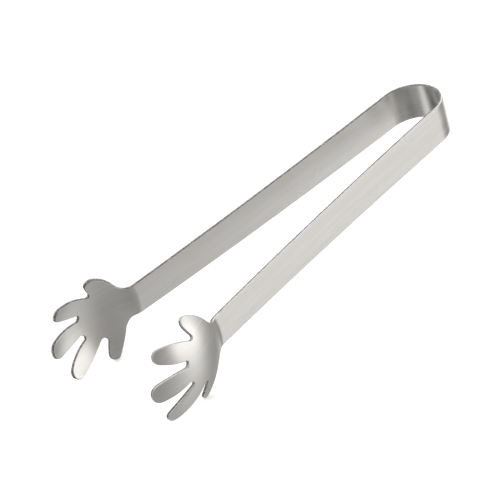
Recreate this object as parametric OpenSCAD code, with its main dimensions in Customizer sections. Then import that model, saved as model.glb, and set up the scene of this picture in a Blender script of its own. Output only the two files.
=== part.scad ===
// Ice tongs: one strip of stainless steel, bent round a bow into two arms. Each arm ends in a
// small hand with a thumb and four fingers, pressed to a shallow bowl that opens inward.
// X runs from the bow to the fingertips, Y from arm to arm, Z across the strip's width.

/* [Strip] */
// Width of the strip round the bow
strip_w = 12.4; // [11:0.2:14]
// Thickness of the strip
strip_t = 1.2; // [1:0.1:1.4]
// Width of the strip at the wrists
wrist_w = 10.1; // [9:0.1:10.2]

/* [Bow and arms] */
// Radius of the bow, to the middle of the strip
bow_r = 10.4; // [9:0.2:13]
// Angle by which each arm leans outward where it leaves the bow
arm_lean = 2.25; // [1:0.25:4]
// Length of an arm, from the bow to the wrist
arm_len = 109.2; // [80:0.4:130]
// Angle by which an arm curves further outward along its length
arm_flare = 3.2; // [1:0.2:5]
// Length of the springy root of each arm that belongs to the bow
root_len = 18; // [12:1:30]
// Running gap where an arm flexes against its root
flex_gap = 0.05; // [0.03:0.01:0.08]

/* [Hands] */
// Radius of the bowl of a hand, to the middle of the strip
bowl_r = 31.8; // [31:0.1:33]
// Depth of the bowl below the flat of the arm
bowl_depth = 4.65; // [4.4:0.05:4.9]
// Distance of the bowl's centre from the strip's centre line, toward the thumb
bowl_side = 0.75; // [0:0.05:1]
// Radius of the bend at the wrist
wrist_r = 4; // [3.5:0.1:4.4]

/* [Fingers] */
// Distance from the middle of a finger to the centre of its round tip
half_len = 4.5; // [4:0.1:5]
// Angle from the middle finger to the index finger and to the ring finger
inner_splay = 24; // [22:0.5:26]
// Angle from the middle finger to the thumb and to the little finger
outer_splay = 56; // [54:0.5:58]

/* [Hidden] */
$fn = 96;

// Each finger: its middle ahead of the bowl's centre and to the side of the strip's centre line,
// the way it points, its tip radius, its greatest half-width, how far that lies behind the
// centre of the tip, and where it leaves the palm, measured from the finger's middle.
thumb = [-7, 9.5, outer_splay, 2.1, 3.5, 6.3, 1.3];
index = [4.7, 8.8, inner_splay, 2.3, 3.05, 6, -4.7];
middle = [8.2, 0.1, 0, 3.1, 3.25, 3, -6.2];
ring = [5.6, -8.9, -inner_splay, 2.5, 3.1, 5.4, -5.4];
little = [-7, -9.6, -outer_splay, 2, 2.6, 6, 0.5];
FINGERS = [thumb, index, middle, ring, little];

// Each crotch between two fingers: the centre and the radius of its round end
CROTCHES = [[-2.95, 9, 0.65], [2.35, 3.65, 0.65], [2.65, -3.75, 0.8], [-3.3, -8.55, 1.1]];

root_back = 13;                // how far a finger's outline runs back from its tip's centre
wrist_x = 18;                  // from the wrist forward to the bowl's centre
web_r = 3.5;                   // round corners where the wrist widens into the hand
bowl_h = bowl_r - bowl_depth;  // height of the bowl's centre over the flat of the arm
curve_r = round(arm_len / arm_flare * 180 / PI);
brim_r = sqrt(pow(bowl_r + wrist_r, 2) - pow(bowl_h + wrist_r, 2));
brim_a = atan2(brim_r, bowl_h + wrist_r);

// Heading of an arm at a distance s from the bow, and its middle there
function heading(s) = arm_lean + arm_flare * s / arm_len;
function arm_point(s) =
    (bow_r + curve_r) * [-sin(arm_lean), cos(arm_lean)]
    + curve_r * [sin(heading(s)), -cos(heading(s))];

// Where a finger lies on the bowl: the angle round it and the tilt from its axis
function finger_round(f) = atan2(f[1] - bowl_side, f[0]);
function finger_tilt(f) = asin(norm([f[0], f[1] - bowl_side]) / bowl_r);

// A point on the outside of the bowl, in the hand's frame, given along and across a finger
// from the finger's middle
function on_outside(f, along, across) =
    let (
        turn = f[2] - finger_round(f),
        down = sqrt(pow(bowl_r + strip_t / 2, 2) - pow(along, 2) - pow(across, 2)),
        outward = along * cos(turn) - across * sin(turn),
        ahead = outward * cos(finger_tilt(f)) + down * sin(finger_tilt(f)),
        aside = along * sin(turn) + across * cos(turn)
    )
    [
        ahead * cos(finger_round(f)) - aside * sin(finger_round(f)),
        ahead * sin(finger_round(f)) + aside * cos(finger_round(f)) + bowl_side,
        outward * sin(finger_tilt(f)) - down * cos(finger_tilt(f)) + bowl_h
    ];

// The outer edge of a finger's round tip, as points all round it
function tip_edge(f) = [
    for (a = [0:5:355]) on_outside(f, half_len + f[3] * cos(a), f[3] * sin(a))
];

// The furthest and the lowest reach of the hands, which put the origin under the middle
wrist = arm_point(arm_len);
tip_x = wrist.x + max([
    for (p = tip_edge(middle)) (wrist_x + p.x) * cos(heading(arm_len)) + p.z * sin(heading(arm_len))
]);
mid_x = (tip_x - bow_r - strip_t / 2) / 2;
base_z = -min([for (p = tip_edge(little)) p.y]);

// A ring of the strip's thickness, in plan
module ring_plan(r, fn = $fn) {
    difference() {
        circle(r + strip_t / 2, $fn = fn);
        circle(r - strip_t / 2, $fn = fn);
    }
}

// From the frame of one end of the bow, with its centre at the origin, to the plan of the tongs
module at_bow_end() {
    rotate(arm_lean) children();
}

// The stretch of one arm from s0 to s1, in the frame of its end of the bow
module arm_plan(s0, s1) {
    far_r = curve_r + 5;
    a0 = arm_flare * s0 / arm_len;
    a1 = arm_flare * s1 / arm_len;
    translate([0, bow_r + curve_r])
    intersection() {
        ring_plan(curve_r, 1440);
        polygon([[0, 0], far_r * [sin(a0), -cos(a0)], far_r * [sin(a1), -cos(a1)]]);
    }
}

// The middle of the flexing joint, in the same frame
module at_joint() {
    a = arm_flare * root_len / arm_len;
    translate([curve_r * sin(a), bow_r + curve_r * (1 - cos(a))]) children();
}

// The strip as seen from the side: full width round the bow, then narrower up to the wrist
module strip_side() {
    rotate([90, 0, 0])
    linear_extrude(8 * bow_r, center = true)
    polygon([
        [-2 * bow_r, -strip_w / 2], [0, -strip_w / 2], [wrist.x + 1, -wrist_w / 2],
        [wrist.x + 1, wrist_w / 2], [0, strip_w / 2], [-2 * bow_r, strip_w / 2]
    ]);
}

// Stands a plan up to the strip's width
module strip_up() {
    intersection() {
        linear_extrude(2 * strip_w, center = true) children();
        strip_side();
    }
}

// The left half of the tongs as modelled, or its mirror image
module side(left) {
    translate([-mid_x, 0, base_z])
    mirror([0, left ? 0 : 1, 0])
    children();
}

// From the hand's frame, palm up with the bowl's centre over the origin, to the end of the arm
module at_wrist() {
    translate(wrist)
    rotate([90, 0, heading(arm_len)])
    translate([wrist_x, 0, 0])
    children();
}

// From a finger's frame, pointing along X with its middle at the origin, to the hand's frame
module on_bowl(f) {
    translate([0, bowl_side, bowl_h])
    rotate([0, -finger_tilt(f), finger_round(f)])
    rotate([0, 0, f[2] - finger_round(f)])
    translate([0, 0, -bowl_r])
    children();
}

// A finger seen from the palm: a round tip that runs without a corner into two bowed sides
module finger_plan(f, from) {
    tip_r = f[3];
    half_w = f[4];
    back = f[5];
    side_r = (back * back / (half_w - tip_r) + tip_r + half_w) / 2;
    join_x = tip_r * back / (side_r - tip_r);
    translate([half_len, 0]) {
        circle(tip_r);
        intersection() {
            translate([-back, side_r - half_w]) circle(side_r, $fn = 360);
            translate([-back, half_w - side_r]) circle(side_r, $fn = 360);
            translate([from - half_len, -half_w])
            square([half_len - from + join_x, 2 * half_w]);
        }
    }
}

module finger_block(f, from) {
    on_bowl(f) linear_extrude(4 * strip_t + 4, center = true) finger_plan(f, from);
}

// Everything in front of the line where a finger leaves the palm
module finger_front(f) {
    on_bowl(f)
    translate([f[6], -f[4] - 0.3, -5])
    cube([2 * root_back, 2 * f[4] + 0.6, 10]);
}

// A solid cut down to the thickness of the strip, where it is pressed into the bowl
module pressed() {
    difference() {
        intersection() {
            children();
            translate([0, bowl_side, bowl_h]) sphere(bowl_r + strip_t / 2);
        }
        translate([0, bowl_side, bowl_h]) sphere(bowl_r - strip_t / 2);
    }
}

module finger(f) {
    color("silver")
    pressed() finger_block(f, f[6]);
}

// The palm without its fingers, seen from inside
module palm_plan() {
    half_w = wrist_w / 2;
    difference() {
        polygon([
            [-wrist_x, -half_w], [-wrist_x, half_w], [-15.6, half_w], [-12.2, 7.2],
            [-10, 9.5], [CROTCHES[0].x, CROTCHES[0].y], [CROTCHES[1].x, CROTCHES[1].y],
            [CROTCHES[2].x, CROTCHES[2].y], [CROTCHES[3].x, CROTCHES[3].y],
            [-9.5, -9], [-11.9, -6.7], [-15, -half_w]
        ]);
        translate([-15.6, half_w + web_r]) circle(web_r);
        translate([-15, -half_w - web_r]) circle(web_r);
        for (c = CROTCHES) translate([c.x, c.y]) circle(c[2]);
    }
}

// The cone from the bowl's centre through the line where the bowl meets the bend at the wrist
module bowl_cone() {
    cone_h = 2 * bowl_r;
    translate([0, bowl_side, bowl_h])
    mirror([0, 0, 1])
    cylinder(h = cone_h, r1 = 0, r2 = cone_h * tan(brim_a));
}

module palm() {
    color("silver")
    difference() {
        pressed()
        intersection() {
            bowl_cone();
            union() {
                linear_extrude(4 * bowl_depth, center = true) palm_plan();
                for (f = FINGERS) finger_block(f, half_len - root_back);
            }
        }
        for (f = FINGERS) finger_front(f);
    }
}

// The bend from the bowl to the flat end of the arm, turned about the bowl's axis
module wrist_bend() {
    color("silver")
    intersection() {
        linear_extrude(4 * bowl_depth, center = true) palm_plan();
        translate([0, bowl_side, 0])
        rotate_extrude() {
            intersection() {
                translate([brim_r, -wrist_r]) ring_plan(wrist_r);
                polygon([
                    [brim_r, -wrist_r], [brim_r, wrist_r],
                    [brim_r - 2 * wrist_r * sin(brim_a), -wrist_r + 2 * wrist_r * cos(brim_a)]
                ]);
            }
            translate([brim_r, -strip_t / 2]) square([wrist_w, strip_t]);
        }
    }
}

// One arm, with a round end that turns in the socket of its root
module arm() {
    color("lightgray")
    strip_up()
    at_bow_end() {
        arm_plan(root_len, arm_len);
        at_joint() circle(strip_t / 2);
    }
}

// A little more than half of the bow, with the springy root of its arm
module bow_half_plan() {
    at_bow_end()
    difference() {
        union() {
            intersection() {
                ring_plan(bow_r);
                translate([-2 * bow_r, -strip_t]) square(2 * bow_r);
            }
            arm_plan(0, root_len);
        }
        at_joint() circle(strip_t / 2 + flex_gap);
    }
}

module bow() {
    color("gray")
    side(true)
    strip_up() {
        bow_half_plan();
        mirror([0, 1]) bow_half_plan();
    }
}

bow();
side(true) arm();  // left_arm
side(true) at_wrist() wrist_bend();  // left_wrist
side(true) at_wrist() palm();  // left_palm
side(true) at_wrist() finger(thumb);  // left_thumb
side(true) at_wrist() finger(index);  // left_index
side(true) at_wrist() finger(middle);  // left_middle
side(true) at_wrist() finger(ring);  // left_ring
side(true) at_wrist() finger(little);  // left_little
side(false) arm();  // right_arm
side(false) at_wrist() wrist_bend();  // right_wrist
side(false) at_wrist() palm();  // right_palm
side(false) at_wrist() finger(thumb);  // right_thumb
side(false) at_wrist() finger(index);  // right_index
side(false) at_wrist() finger(middle);  // right_middle
side(false) at_wrist() finger(ring);  // right_ring
side(false) at_wrist() finger(little);  // right_little
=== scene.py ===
import math

import bpy
import numpy as np
from mathutils import Matrix, Vector
from mathutils.geometry import delaunay_2d_cdt


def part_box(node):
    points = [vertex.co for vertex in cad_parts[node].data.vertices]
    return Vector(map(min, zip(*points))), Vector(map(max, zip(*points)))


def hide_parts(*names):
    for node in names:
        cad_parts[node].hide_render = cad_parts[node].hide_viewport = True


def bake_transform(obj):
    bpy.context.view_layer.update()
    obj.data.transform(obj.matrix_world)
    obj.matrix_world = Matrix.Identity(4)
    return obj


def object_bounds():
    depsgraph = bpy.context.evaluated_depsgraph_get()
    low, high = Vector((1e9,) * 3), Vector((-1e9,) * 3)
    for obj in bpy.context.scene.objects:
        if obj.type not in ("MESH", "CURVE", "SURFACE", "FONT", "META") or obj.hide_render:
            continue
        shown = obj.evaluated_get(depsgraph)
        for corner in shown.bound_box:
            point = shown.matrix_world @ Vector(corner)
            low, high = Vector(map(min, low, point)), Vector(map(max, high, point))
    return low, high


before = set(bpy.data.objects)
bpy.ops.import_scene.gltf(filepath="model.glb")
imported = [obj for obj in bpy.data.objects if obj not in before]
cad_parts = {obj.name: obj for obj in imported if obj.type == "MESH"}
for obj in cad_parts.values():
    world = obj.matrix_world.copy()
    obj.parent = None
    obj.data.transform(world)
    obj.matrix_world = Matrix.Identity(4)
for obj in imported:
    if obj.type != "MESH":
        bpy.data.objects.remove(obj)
cad_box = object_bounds()

# ---------------------------------------------------------------------------------------------
# The strip, in millimetres, as the CAD has it. Its chart is (u, v): u runs along the strip with
# 0 at the axis of the hand's bowl, v across it with the thumb's side positive.
# ---------------------------------------------------------------------------------------------
MM = 0.001
STRIP_T = 1.2
BOW_R = 10.4
BOW_HALF_W = 6.2
WRIST_HALF_W = 5.05
ARM_LEAN = math.radians(2.25)
ARM_FLARE = math.radians(3.2)
ARM_LEN = 109.2
ARM_CURVE_R = ARM_LEN / ARM_FLARE
ROOT_LEN = 18.0              # a length along the arm from the bow, near where the strip flexes
BOWL_R = 31.8
BOWL_DEPTH = 4.65
BOWL_SIDE = 0.75
WRIST_BEND_R = 4.0
WRIST_X = 18.0               # from the wrist forward to the bowl's axis
EDGE_R = 0.25                # tumbled edges of the punched strip

BOWL_H = BOWL_R - BOWL_DEPTH
BRIM_R = math.sqrt((BOWL_R + WRIST_BEND_R) ** 2 - (BOWL_H + WRIST_BEND_R) ** 2)
BOWL_EDGE_R = BRIM_R * BOWL_R / (BOWL_R + WRIST_BEND_R)
U_WRIST = -WRIST_X
U_ARM = U_WRIST - ARM_LEN
U_CROWN = U_ARM - BOW_R * (math.pi / 2 - ARM_LEAN)

HALF_LEN = 4.5               # from a finger's middle to the centre of its round tip
ROOT_BACK = 13.0             # how far a finger's outline runs back from there
# Fingers: middle of the finger (x, y), the way it points, radius of the tip, greatest
# half-width and how far that lies behind the centre of the tip
FINGERS = {
    "thumb": (-7.0, 9.5, 56, 2.1, 3.5, 6.3),
    "index": (4.7, 8.8, 24, 2.3, 3.05, 6.0),
    "middle": (8.2, 0.1, 0, 3.1, 3.25, 3.0),
    "ring": (5.6, -8.9, -24, 2.5, 3.1, 5.4),
    "little": (-7.0, -9.6, -56, 2.0, 2.6, 6.0),
}
# Round ends of the cuts between the fingers: middle (x, y) and radius
CROTCHES = [(-2.95, 9.0, 0.65), (2.35, 3.65, 0.65), (2.65, -3.75, 0.8), (-3.3, -8.55, 1.1)]
# Round corners where the wrist widens into the hand
WEB_R = 3.5
UPPER_WEB_X = -15.6
LOWER_WEB_X = -15.0
WEBS = [
    (UPPER_WEB_X, WRIST_HALF_W + WEB_R, WEB_R),
    (LOWER_WEB_X, -WRIST_HALF_W - WEB_R, WEB_R),
]
# The CAD nodes of one side, without left_ or right_
SIDE_PARTS = ["arm", "wrist", "palm", "thumb", "index", "middle", "ring", "little"]

# Where the row's origin lies in the plan of the tongs, read from the frame
bow_lo, bow_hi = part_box("bow")
MID_X = -bow_lo.x / MM - BOW_R - STRIP_T / 2
BASE_Z = (bow_lo.z + bow_hi.z) / 2 / MM


def heading(s):
    return ARM_LEAN + s / ARM_CURVE_R


def arm_point(s):
    h = heading(s)
    ca, sa = math.cos(ARM_LEAN), math.sin(ARM_LEAN)
    x = -(BOW_R + ARM_CURVE_R) * sa + ARM_CURVE_R * np.sin(h)
    y = (BOW_R + ARM_CURVE_R) * ca - ARM_CURVE_R * np.cos(h)
    return x, y


def mid_surface(u, v):
    """Point on the middle of the left half of the strip, and the unit normal that faces inward."""
    u, v = np.asarray(u, float), np.asarray(v, float)
    point, normal = np.zeros(u.shape + (3,)), np.zeros(u.shape + (3,))
    point[..., 2] = v

    bow = u < U_ARM
    a = math.pi / 2 + ARM_LEAN + (U_ARM - u) / BOW_R
    point[bow, 0], point[bow, 1] = (BOW_R * np.cos(a))[bow], (BOW_R * np.sin(a))[bow]
    normal[bow, 0], normal[bow, 1] = -np.cos(a)[bow], -np.sin(a)[bow]

    arm = (u >= U_ARM) & (u < U_WRIST)
    s = u - U_ARM
    x, y = arm_point(s)
    point[arm, 0], point[arm, 1] = x[arm], y[arm]
    normal[arm, 0], normal[arm, 1] = np.sin(heading(s))[arm], -np.cos(heading(s))[arm]

    hand = u >= U_WRIST
    side = v - BOWL_SIDE
    r = np.hypot(u, side)
    r_safe = np.maximum(r, 1e-9)
    height, slope = np.zeros(u.shape), np.zeros(u.shape)
    bend = (r > BOWL_EDGE_R) & (r < BRIM_R)
    inset = np.where(bend, BRIM_R - r, 0.0)
    height = np.where(bend, -WRIST_BEND_R + np.sqrt(WRIST_BEND_R ** 2 - inset ** 2), height)
    slope = np.where(bend, -inset / WRIST_BEND_R, slope)
    bowl = r <= BOWL_EDGE_R
    inside = np.where(bowl, r, 0.0)
    height = np.where(bowl, BOWL_H - np.sqrt(BOWL_R ** 2 - inside ** 2), height)
    slope = np.where(bowl, -inside / BOWL_R, slope)
    up = np.sqrt(1 - slope ** 2)
    nx, ny = slope * u / r_safe, slope * side / r_safe
    end = heading(ARM_LEN)
    wx, wy = arm_point(ARM_LEN)
    ce, se = math.cos(end), math.sin(end)
    ahead = u - U_WRIST
    point[hand, 0] = (wx + ahead * ce + height * se)[hand]
    point[hand, 1] = (wy + ahead * se - height * ce)[hand]
    normal[hand, 0] = (nx * ce + up * se)[hand]
    normal[hand, 1] = (nx * se - up * ce)[hand]
    normal[hand, 2] = ny[hand]

    point += np.array([-MID_X, 0.0, BASE_Z])
    return point, normal


def half_width(u):
    """Half the width of the bow and arm at u."""
    x = np.where(u < U_ARM, 0.0, arm_point(np.maximum(u, U_ARM) - U_ARM)[0])
    return BOW_HALF_W - (BOW_HALF_W - WRIST_HALF_W) * np.clip(x / arm_point(ARM_LEN)[0], 0, 1)


# ---------------------------------------------------------------------------------------------
# Outline of the hand
# ---------------------------------------------------------------------------------------------
CIRCLE_STEP = 0.12           # spacing of points round a circle
SIDE_STEP = 0.2              # and along the side of a finger
TIP_STEPS = 40               # steps round a fingertip
SOFTEN_ROUNDS = 3


def circle(x, y, r):
    n = max(16, int(2 * math.pi * r / CIRCLE_STEP))
    angles = [2 * math.pi * i / n for i in range(n)]
    return [(x + r * math.cos(a), y + r * math.sin(a)) for a in angles]


def finger_outline(x, y, pointing, tip_r, half_w, back):
    """A round tip that runs without a corner into two bowed sides, laid onto the bowl."""
    side_r = (back ** 2 / (half_w - tip_r) + tip_r + half_w) / 2
    join = math.acos(back / (side_r - tip_r))
    flat = []
    for i in range(TIP_STEPS + 1):
        a = join - 2 * join * i / TIP_STEPS
        flat.append((HALF_LEN + tip_r * math.cos(a), tip_r * math.sin(a)))
    side_start = HALF_LEN + tip_r * math.cos(join) - SIDE_STEP
    xs = np.arange(side_start, HALF_LEN - ROOT_BACK, -SIDE_STEP)
    widths = np.sqrt(side_r ** 2 - (xs - HALF_LEN + back) ** 2) - side_r + half_w
    lower = [(px, -w) for px, w in zip(xs, widths)]
    upper = [(px, w) for px, w in zip(xs[::-1], widths[::-1])]
    flat = np.array(flat + lower + upper)[::-1]
    turn_round = math.atan2(y - BOWL_SIDE, x)
    tilt = math.asin(math.hypot(x, y - BOWL_SIDE) / BOWL_R)
    turn = math.radians(pointing) - turn_round
    along, across = flat[:, 0], flat[:, 1]
    down = np.sqrt(BOWL_R ** 2 - along ** 2 - across ** 2)
    outward = along * math.cos(turn) - across * math.sin(turn)
    aside = along * math.sin(turn) + across * math.cos(turn)
    ahead = outward * math.cos(tilt) + down * math.sin(tilt)
    return list(zip(
        ahead * math.cos(turn_round) - aside * math.sin(turn_round),
        ahead * math.sin(turn_round) + aside * math.cos(turn_round) + BOWL_SIDE))


def palm_outline():
    """The palm without its fingers, from wrist to wrist through the middles of the crotches."""
    w = WRIST_HALF_W
    upper = [(-WRIST_X, w), (UPPER_WEB_X, w), (-12.2, 7.2), (-10, 9.5)]
    lower = [(-9.5, -9), (-11.9, -6.7), (LOWER_WEB_X, -w), (-WRIST_X, -w)]
    return (upper + [c[:2] for c in CROTCHES] + lower)[::-1]


def hand_outline():
    """The hand's edge as one open line, from the lower corner of the wrist to the upper one."""
    shapes = [palm_outline()] + [circle(*c) for c in WEBS + CROTCHES]
    cuts = set(range(1, len(shapes)))
    shapes += [finger_outline(*f) for f in FINGERS.values()]
    points, faces = [], []
    for shape in shapes:
        faces.append(list(range(len(points), len(points) + len(shape))))
        points += [Vector(p) for p in shape]
    points, _, triangles, _, _, origins = delaunay_2d_cdt(points, [], faces, 1, 1e-5)
    fingers = set(range(len(shapes) - len(FINGERS), len(shapes)))
    kept = [
        t for t, o in zip(triangles, origins)
        if fingers & set(o) or (0 in o and not cuts & set(o))
    ]
    following = {}
    edges = {(t[i], t[(i + 1) % 3]) for t in kept for i in range(3)}
    for a, b in edges:
        if (b, a) not in edges:
            following.setdefault(a, []).append(b)
    start = min(following, key=lambda i: (round(points[i].x, 3), points[i].y))
    loop = [start]
    while True:
        ahead = following[loop[-1]]
        nxt = ahead[0]
        if len(ahead) > 1:
            nxt = max(ahead, key=lambda i: (points[i] - points[loop[-1]]).length)
        if nxt == start:
            break
        loop.append(nxt)
        if len(loop) > len(points):
            raise RuntimeError("the hand's outline does not close")
    return np.array([points[i] for i in loop])


def resample(points, step):
    """The same open line with evenly spaced points."""
    length = np.concatenate([[0], np.cumsum(np.hypot(*np.diff(points, axis=0).T))])
    count = int(round(length[-1] / step)) + 1
    at = np.linspace(0, length[-1], count)
    return np.column_stack([np.interp(at, length, points[:, k]) for k in (0, 1)])


def soften(points, rounds):
    """Rounds the corners of an open line a little, as tumbling does. Its ends stay."""
    for _ in range(rounds):
        points[1:-1] = points[1:-1] / 2 + (points[:-2] + points[2:]) / 4
    return points


# ---------------------------------------------------------------------------------------------
# One half of the tongs as a closed mesh: both faces, the rounded edges and the wall between
# ---------------------------------------------------------------------------------------------
EDGE_STEPS = 5               # rings round each tumbled edge
INSET = 0.05                 # the tumbled edge stands this far inside the punched one
BOW_STEP = 0.35              # spacing of the mesh along the bow
ARM_STEP = 1.6               # and along the arm
HAND_STEP = 0.28             # along the hand's edge
GRID_STEP = 0.5              # and inside the hand
ACROSS = 11                  # points across the bow and the arm
REACH_U = 17.0               # the grid covers the hand up to here along the strip
REACH_V = 16.0               # and this far to either side


def strip_rows():
    bow = np.linspace(U_CROWN, U_ARM, int((U_ARM - U_CROWN) / BOW_STEP) + 1)
    arm = np.linspace(U_ARM, U_WRIST, int(ARM_LEN / ARM_STEP) + 1)
    return np.concatenate([bow, arm[1:]])


def half_outline():
    """The edge of one half, from the lower corner at the crown round the hand to the upper one."""
    rows = strip_rows()[:-1]
    hand = soften(resample(hand_outline(), HAND_STEP), SOFTEN_ROUNDS)
    width = half_width(rows)
    lower = np.column_stack([rows, -width])
    upper = np.column_stack([rows, width])[::-1]
    return np.vstack([lower, hand, upper])


def outward(line):
    """Unit vectors in the chart that point out of the strip, one for each point of its edge."""
    along = np.gradient(line, axis=0)
    out = np.column_stack([along[:, 1], -along[:, 0]])
    out /= np.hypot(out[:, 0], out[:, 1])[:, None]
    out[0], out[-1] = (0, -1), (0, 1)
    return out


def fill_points(line):
    """Points inside the flat of the strip: rows across the arm and a fine grid on the hand."""
    inner = []
    for u in strip_rows()[:-1]:
        w = half_width(u) - EDGE_R
        inner += [(u, v) for v in np.linspace(-w, w, ACROSS)[1:-1]]
    inner = [p for p in inner if p[0] > U_CROWN + 1e-6]
    for row, u in enumerate(np.arange(U_WRIST, REACH_U, GRID_STEP * math.sqrt(3) / 2)):
        shift = GRID_STEP / 2 if row % 2 else 0.0
        for v in np.arange(-REACH_V, REACH_V, GRID_STEP):
            p = np.array([u, v + shift])
            if np.min(np.hypot(*(line - p).T)) > EDGE_R + 0.3 * GRID_STEP:
                inner.append(tuple(p))
    return inner


def make_piece(name, verts, normals, chart, rounding, depth, faces):
    """An object in the scene, with the chart as its UV map and its own smooth normals."""
    mesh = bpy.data.meshes.new(name)
    mesh.from_pydata((verts * MM).tolist(), [], faces)
    mesh.validate()
    uv = mesh.uv_layers.new(name="strip")
    loops = np.zeros(len(mesh.loops), int)
    mesh.loops.foreach_get("vertex_index", loops)
    uv.data.foreach_set("uv", (chart[loops] * MM).ravel())
    mesh.attributes.new("edge", "FLOAT", "POINT").data.foreach_set("value", rounding)
    mesh.attributes.new("depth", "FLOAT", "POINT").data.foreach_set("value", depth)
    mesh.shade_smooth()
    mesh.normals_split_custom_set_from_vertices(normals.tolist())
    piece = bpy.data.objects.new(name, mesh)
    bpy.context.scene.collection.objects.link(piece)
    return piece


def build_half(name, mirrored):
    # The flat of the strip in the chart: a border that the edge starts from, and points inside
    line = half_outline()
    out = outward(line)
    line = line - INSET * out
    rim = line - EDGE_R * out
    crown = [(U_CROWN, v) for v in np.linspace(rim[-1][1], rim[0][1], ACROSS)[1:-1]]
    inner = fill_points(line)
    n_rim = len(rim)
    border = [tuple(p) for p in rim] + crown
    flat, _, triangles, origin, _, _ = delaunay_2d_cdt(
        [Vector(p) for p in border + inner], [], [list(range(len(border)))], 1, 1e-7)
    used = sorted({i for t in triangles for i in t})
    place = {old: new for new, old in enumerate(used)}
    triangles = [[place[i] for i in t] for t in triangles]
    where = {
        source: place[i]
        for i, sources in enumerate(origin) if i in place
        for source in sources
    }
    flat = np.array([flat[i] for i in used])

    # The inner face and the outer one, each vertex with how far it lies round the edge
    # (0 on a face, 1 on the wall) and how deep in the strip (1 inner face, -1 outer face)
    point, normal = mid_surface(flat[:, 0], flat[:, 1])
    half_t = STRIP_T / 2
    verts, normals, chart, rounding, depth = [], [], [], [], []

    def add(p, n, c, edge, height):
        first = len(verts)
        verts.extend(p)
        normals.extend(n)
        chart.extend(c)
        rounding.extend([edge] * len(p))
        depth.extend([height / half_t] * len(p))
        return first

    faces = []
    face_start = {}
    for sign in (1, -1):
        height = sign * half_t
        face_start[sign] = add(point + height * normal, sign * normal, flat, 0.0, height)
        for t in triangles:
            t = [i + face_start[sign] for i in t]
            faces.append(t if sign > 0 else t[::-1])

    # Rings that round each edge off, and the wall between the last two of them
    nudge = 1e-3
    edge_p, _ = mid_surface(line[:, 0], line[:, 1])
    edge_q, _ = mid_surface(*(line - nudge * out).T)
    away = edge_p - edge_q
    rings = {}
    for sign in (1, -1):
        rings[sign] = [[where[i] + face_start[sign] for i in range(n_rim)]]
        for k in range(1, EDGE_STEPS + 1):
            a = math.pi / 2 * k / EDGE_STEPS
            c = line - EDGE_R * (1 - math.sin(a)) * out
            p, n = mid_surface(c[:, 0], c[:, 1])
            side = away - (away * n).sum(1)[:, None] * n
            side /= np.linalg.norm(side, axis=1)[:, None]
            height = sign * (half_t - EDGE_R * (1 - math.cos(a)))
            facing = sign * math.cos(a) * n + math.sin(a) * side
            first = add(p + height * n, facing, c, math.sin(a), height)
            rings[sign].append(list(range(first, first + n_rim)))
    layers = rings[1] + rings[-1][::-1]
    for a, b in zip(layers, layers[1:]):
        for i in range(n_rim - 1):
            faces.append([a[i], b[i], b[i + 1], a[i + 1]])

    # The cut across the crown of the bow, where the two halves meet
    cap = [face_start[1] + where[n_rim + i] for i in range(len(crown))]
    cap += [ring[0] for ring in layers]
    cap += [face_start[-1] + where[n_rim + i] for i in range(len(crown))][::-1]
    cap += [ring[-1] for ring in layers[::-1]]
    faces.append(cap)

    verts, normals, chart = np.array(verts), np.array(normals), np.array(chart)
    if mirrored:
        verts[:, 1] *= -1
        normals[:, 1] *= -1
        faces = [f[::-1] for f in faces]
    return make_piece(name, verts, normals, chart, rounding, depth, faces)


left_half = build_half("left_half", False)
right_half = build_half("right_half", True)


# ---------------------------------------------------------------------------------------------
# Brushed stainless steel
# ---------------------------------------------------------------------------------------------
class Nodes:
    """Short ways to add and link shader nodes."""

    def __init__(self, tree):
        self.tree = tree
        tree.nodes.clear()

    def add(self, kind, inputs=(), **settings):
        node = self.tree.nodes.new(kind)
        for key, value in settings.items():
            setattr(node, key, value)
        for key, value in dict(inputs).items():
            if isinstance(value, bpy.types.NodeSocket):
                self.tree.links.new(value, node.inputs[key])
            else:
                node.inputs[key].default_value = value
        return node

    def math(self, operation, a, b=0.0, c=0.0, clamp=False):
        node = self.add("ShaderNodeMath", {0: a, 1: b, 2: c}, operation=operation, use_clamp=clamp)
        return node.outputs[0]

    def scale(self, vector, factors):
        node = self.add("ShaderNodeVectorMath", {0: vector, 1: factors}, operation="MULTIPLY")
        return node.outputs[0]

    def noise(self, vector, scale=1.0, detail=2.0, rough=0.5):
        node = self.add(
            "ShaderNodeTexNoise",
            {"Vector": vector, "Scale": scale, "Detail": detail, "Roughness": rough})
        return node.outputs["Fac"]

    def blend(self, factor, a, b):
        node = self.add("ShaderNodeMix", {0: factor, 6: a, 7: b}, data_type="RGBA")
        return node.outputs[2]

    def spread(self, value, low, high, to_low, to_high):
        node = self.add(
            "ShaderNodeMapRange", {0: value, 1: low, 2: high, 3: to_low, 4: to_high})
        return node.outputs[0]


# Grain of the brushing along and across the strip, and the stains, in cycles per metre
FINE_GRAIN = (90, 9000, 1)
MEDIUM_GRAIN = (35, 2200, 1)
BROAD_GRAIN = (12, 500, 1)
STAINS = (60, 110, 1)
GRIT = 2600

DARK_STEEL = (0.58, 0.57, 0.555, 1)
LIGHT_STEEL = (0.68, 0.67, 0.655, 1)
STAINED_STEEL = (0.60, 0.565, 0.535, 1)
# lighter steel for the rounded edges: real burnish, and beyond it a painted highlight
WORN_AND_PAINTED_HIGHLIGHT_STEEL = (0.80, 0.79, 0.78, 1)
# near-black steel: painted shade on the fractured part of the wall
TORN_PAINTED_SHADE_STEEL = (0.07, 0.068, 0.066, 1)
# near-white steel: painted highlights, small glints on the wall
PAINTED_GLINT_STEEL = (0.85, 0.84, 0.83, 1)


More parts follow.
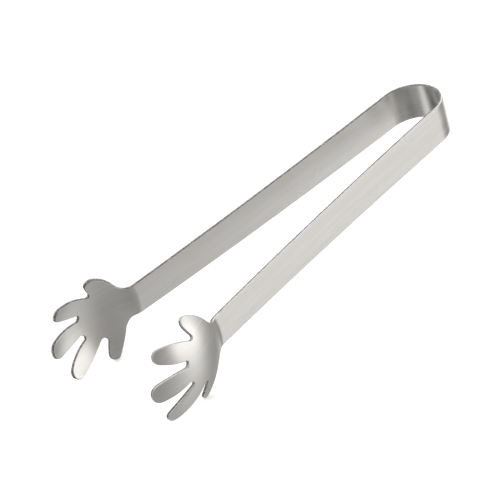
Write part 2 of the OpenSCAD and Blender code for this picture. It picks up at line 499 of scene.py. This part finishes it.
def brushed_steel():
    material = bpy.data.materials.new("brushed_steel")
    material.use_nodes = True
    n = Nodes(material.node_tree)
    strip = n.add("ShaderNodeUVMap", uv_map="strip").outputs[0]
    edge = n.add("ShaderNodeAttribute", attribute_name="edge").outputs["Fac"]
    depth = n.add("ShaderNodeAttribute", attribute_name="depth").outputs["Fac"]
    fine = n.noise(n.scale(strip, FINE_GRAIN), detail=3.0, rough=0.6)
    medium = n.noise(n.scale(strip, MEDIUM_GRAIN), detail=2.0)
    broad = n.noise(n.scale(strip, BROAD_GRAIN), detail=2.0)
    cloud = n.noise(n.scale(strip, STAINS), detail=3.0)
    streak = n.math("ADD", n.math("MULTIPLY", medium, 0.6), n.math("MULTIPLY", broad, 0.4))
    # rubbed, burnished edges, really smoother; their lighter colour is partly a painted highlight
    # along each rounded edge
    worn_and_painted_highlight = n.math("MULTIPLY", edge, n.spread(cloud, 0.35, 0.65, 0.6, 1.0))
    # The punched wall: sheared smooth toward the outer face, fractured, dull and rougher toward the
    # inner one. The fractured part's near-black colour is painted shade, with painted glints in it.
    grit = n.noise(n.add("ShaderNodeTexCoord").outputs["Object"], scale=GRIT, detail=2.0)
    ragged = n.math("ADD", depth, n.spread(grit, 0.3, 0.7, -0.2, 0.3))
    on_wall = n.spread(edge, 0.45, 0.8, 0.0, 1.0)
    torn_and_painted_shade = n.math("MULTIPLY", n.spread(ragged, -0.3, -0.1, 0.0, 1.0), on_wall)
    # painted highlight: scattered light spots on the fractured part of the wall
    painted_glint = n.math("MULTIPLY", torn_and_painted_shade, n.spread(grit, 0.58, 0.64, 0.0, 1.0))

    tint = n.add("ShaderNodeValToRGB", {0: n.spread(streak, 0.3, 0.7, 0.0, 1.0)})
    tint.color_ramp.elements[0].color = DARK_STEEL
    tint.color_ramp.elements[1].color = LIGHT_STEEL
    stained = n.spread(cloud, 0.45, 0.75, 0.0, 0.35)
    colour = n.blend(stained, tint.outputs[0], STAINED_STEEL)
    colour = n.blend(n.math("MULTIPLY", worn_and_painted_highlight, 0.6), colour, WORN_AND_PAINTED_HIGHLIGHT_STEEL)
    # painted shade: the fractured part of the wall turns near-black
    colour = n.blend(n.math("MULTIPLY", torn_and_painted_shade, 0.85), colour, TORN_PAINTED_SHADE_STEEL)
    # painted highlight: the glints
    colour = n.blend(n.math("MULTIPLY", painted_glint, 0.9), colour, PAINTED_GLINT_STEEL)
    rough = n.spread(streak, 0.3, 0.7, 0.27, 0.34)
    rough = n.math("ADD", rough, n.spread(cloud, 0.3, 0.7, -0.03, 0.04))
    rough = n.math("SUBTRACT", rough, n.math("MULTIPLY", worn_and_painted_highlight, 0.08))
    rough = n.math("MULTIPLY_ADD", torn_and_painted_shade, 0.18, rough)
    grain = n.add("ShaderNodeBump", {
        "Strength": 0.1, "Distance": 0.00002,
        "Height": n.math("ADD", fine, n.math("MULTIPLY", medium, 0.8))}).outputs[0]
    grain = n.add("ShaderNodeBump", {
        "Strength": n.math("MULTIPLY", edge, 0.35), "Distance": 0.00015,
        "Height": grit, "Normal": grain}).outputs[0]
    tangent = n.add("ShaderNodeTangent", direction_type="UV_MAP", uv_map="strip").outputs[0]
    shader = n.add("ShaderNodeBsdfPrincipled", {
        "Base Color": colour, "Metallic": 1.0, "Roughness": rough,
        "Anisotropic": 0.82, "Anisotropic Rotation": 0.25, "Normal": grain, "Tangent": tangent})
    n.add("ShaderNodeOutputMaterial", {"Surface": shader.outputs[0]})
    return material


def arm_place(s, side):
    """The middle of an arm at a distance s from the bow, in the frame's metres."""
    p, _ = mid_surface(np.array([U_ARM + s]), np.array([0.0]))
    return p[0] * (MM, side * MM, MM)


steel = brushed_steel()
for half in (left_half, right_half):
    half.data.materials.append(steel)

# For each half, the arm's middle at the bow and at twice the root's length is worked out but not
# used, and the half's transform is baked into its mesh
for half, jaw, side in ((left_half, "left_jaw", 1), (right_half, "right_jaw", -1)):
    arm_place(0, side)
    arm_place(2 * ROOT_LEN, side)
    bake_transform(half)
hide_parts("bow", *["left_" + part for part in SIDE_PARTS])
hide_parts(*["right_" + part for part in SIDE_PARTS])


# ---------------------------------------------------------------------------------------------
# Floor, studio light and camera
# ---------------------------------------------------------------------------------------------
FLOOR_SIZE = 6
FLOOR_GAP = 0.0002           # keeps the floor clear of the lowest edge


def make_floor():
    bpy.ops.mesh.primitive_plane_add(
        size=FLOOR_SIZE, location=(0, 0, cad_box[0].z - FLOOR_GAP))
    floor = bpy.context.object
    floor.name = "floor"
    material = bpy.data.materials.new("floor")
    material.use_nodes = True
    n = Nodes(material.node_tree)
    shader = n.add("ShaderNodeBsdfDiffuse", {"Color": (0.95, 0.95, 0.95, 1)})
    n.add("ShaderNodeOutputMaterial", {"Surface": shader.outputs[0]})
    floor.data.materials.append(material)
    floor.visible_glossy = False


def toward(azimuth, elevation):
    """The unit vector toward a direction given in radians."""
    across = math.cos(elevation)
    return Vector((math.cos(azimuth) * across, math.sin(azimuth) * across, math.sin(elevation)))


def panel(n, direction, azimuth, elevation, half_w, half_h, soft):
    """1 inside a soft-edged panel of the studio, seen from the tongs, and 0 outside. Degrees."""
    a = math.radians(azimuth)
    face = toward(a, math.radians(elevation))
    right = Vector((-math.sin(a), math.cos(a), 0))
    up = face.cross(right)

    def dot(vector):
        node = n.add("ShaderNodeVectorMath", {0: direction, 1: vector}, operation="DOT_PRODUCT")
        return node.outputs["Value"]

    depth = dot(face)
    inside = n.math("GREATER_THAN", depth, 0.0)
    for vector, half in ((right, half_w), (up, half_h)):
        angle = n.math("ARCTAN2", n.math("ABSOLUTE", dot(vector)), depth)
        angle = n.math("MULTIPLY", angle, 180 / math.pi)
        near = n.spread(angle, half - soft, half + soft, 1.0, 0.0)
        inside = n.math("MULTIPLY", inside, near)
    return inside


# The studio round the tongs: azimuth from +X toward +Y, elevation, half-width, half-height,
# softness of the rim (degrees) and how much lighter or darker it is than the room. Only what
# the steel reflects comes from it: the camera and the floor see plain white.
ROOM = 0.65
PLAIN_WHITE = 1.6
PANELS = [
    (128, -6, 17, 12, 5, 1.65),
    (151, -7, 10, 11, 5, 0.8),
    (136, -32, 9, 12, 6, 0.36),
    (155, -56, 25, 12, 10, 0.25),
    (168, -34, 17, 26, 6, -0.27),
    (195, -50, 22, 14, 12, -0.15),
    (211, -12, 17, 30, 8, 0.85),
    (250, -20, 14, 18, 6, 0.6),
    (236, 38, 42, 20, 8, 0.9),
    (125, 62, 70, 22, 10, -0.15),
    (293, -30, 26, 28, 8, -0.5),
    (346, -32, 11, 30, 4, 0.6),
    (15, -30, 30, 30, 15, -0.3),
    (66, -32, 26, 20, 8, -0.23),
    (85, 5, 20, 14, 10, -0.4),
    (150, -80, 40, 26, 14, -0.1),
]


def make_world():
    world = bpy.data.worlds.new("studio")
    bpy.context.scene.world = world
    world.use_nodes = True
    n = Nodes(world.node_tree)
    direction = n.add("ShaderNodeTexCoord").outputs["Generated"]
    light = ROOM
    for azimuth, elevation, half_w, half_h, soft, amount in PANELS:
        inside = panel(n, direction, azimuth, elevation, half_w, half_h, soft)
        light = n.math("MULTIPLY_ADD", inside, amount, light)
    reflected = n.add("ShaderNodeLightPath").outputs["Is Glossy Ray"]
    studio = n.add("ShaderNodeBackground", {"Color": (1.0, 0.99, 0.975, 1), "Strength": light})
    plain = n.add("ShaderNodeBackground", {"Color": (1, 1, 1, 1), "Strength": PLAIN_WHITE})
    mix = n.add("ShaderNodeMixShader", {0: reflected, 1: plain.outputs[0], 2: studio.outputs[0]})
    n.add("ShaderNodeOutputWorld", {"Surface": mix.outputs[0]})


def make_camera():
    data = bpy.data.cameras.new("camera")
    data.sensor_width = 36
    data.lens = 172.8
    data.clip_start, data.clip_end = 0.05, 10
    camera = bpy.data.objects.new("camera", data)
    bpy.context.scene.collection.objects.link(camera)
    azimuth = math.radians(53.688)
    elevation = math.radians(33.741)
    roll = math.radians(17.42)
    distance = 0.72846
    target = Vector((0.01075, -0.00119, 0.01516))
    back = toward(azimuth, elevation)
    camera.location = target + distance * back
    camera.rotation_mode = "QUATERNION"
    level = back.to_track_quat("Z", "Y")
    camera.rotation_quaternion = level @ Matrix.Rotation(-roll, 3, "Z").to_quaternion()
    bpy.context.scene.camera = camera


make_floor()
make_world()
make_camera()
bpy.context.scene.view_settings.view_transform = "Standard"
